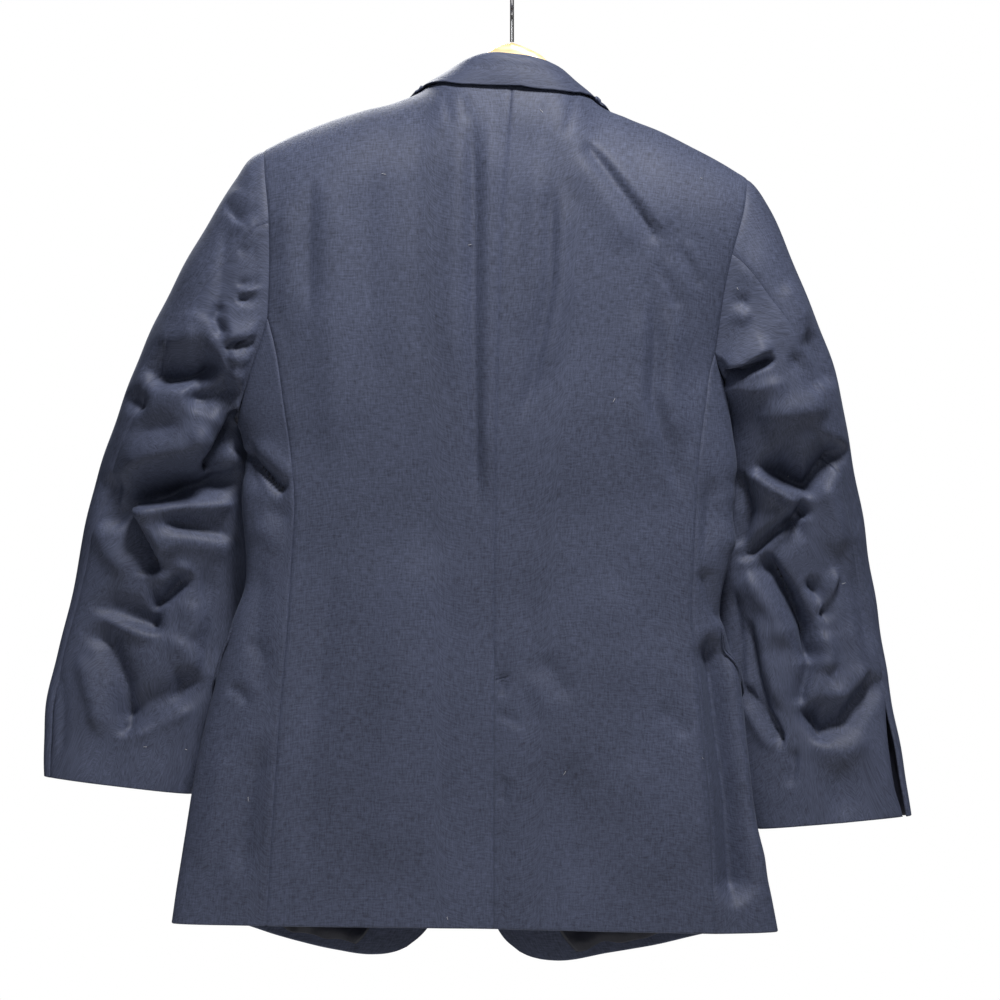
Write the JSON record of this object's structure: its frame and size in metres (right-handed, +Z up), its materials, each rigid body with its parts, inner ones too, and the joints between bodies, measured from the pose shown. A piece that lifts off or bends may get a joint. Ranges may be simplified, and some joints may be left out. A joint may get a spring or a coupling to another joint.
{
  "type": "blazer on a wooden hanger",
  "caption": "Single-breasted dark blue blazer with notched lapels, jetted hip pockets and a centre vent, hanging on a shaped wooden hanger with a wire hook.",
  "frame": {"origin": "the highest point of the hook's inside, where it hangs on a rail", "axes": "+Z up against gravity, +X towards the wearer's left, +Y towards the wearer's back, so the fronts face -Y"},
  "size_m": [0.8231, 0.1418, 0.9448],
  "materials": {
    "cloth": "dark slate-blue fine worsted wool with a faint sheen",
    "lining": "near-black blue satin lining",
    "buttons": "dark horn-like resin, half polished",
    "wood": "pale lacquered wood",
    "hook": "bright plated steel wire"
  },
  "bodies": {
    "root": {"back_left": "cloth", "back_right": "cloth", "side_panel_left": "cloth", "side_panel_right": "cloth", "front_left": "cloth", "front_right": "cloth", "lapel_left": "cloth", "lapel_right": "cloth", "collar": "cloth", "top_sleeve_left": "cloth", "top_sleeve_right": "cloth", "under_sleeve_left": "cloth", "under_sleeve_right": "cloth", "jet_upper_left": "cloth", "jet_lower_left": "cloth", "jet_upper_right": "cloth", "jet_lower_right": "cloth", "lining_left": "lining", "lining_right": "lining", "button_1": "buttons", "button_2": "buttons", "hanger_wood": "wood", "hanger_hook": "hook"}
  },
  "joints": []
}
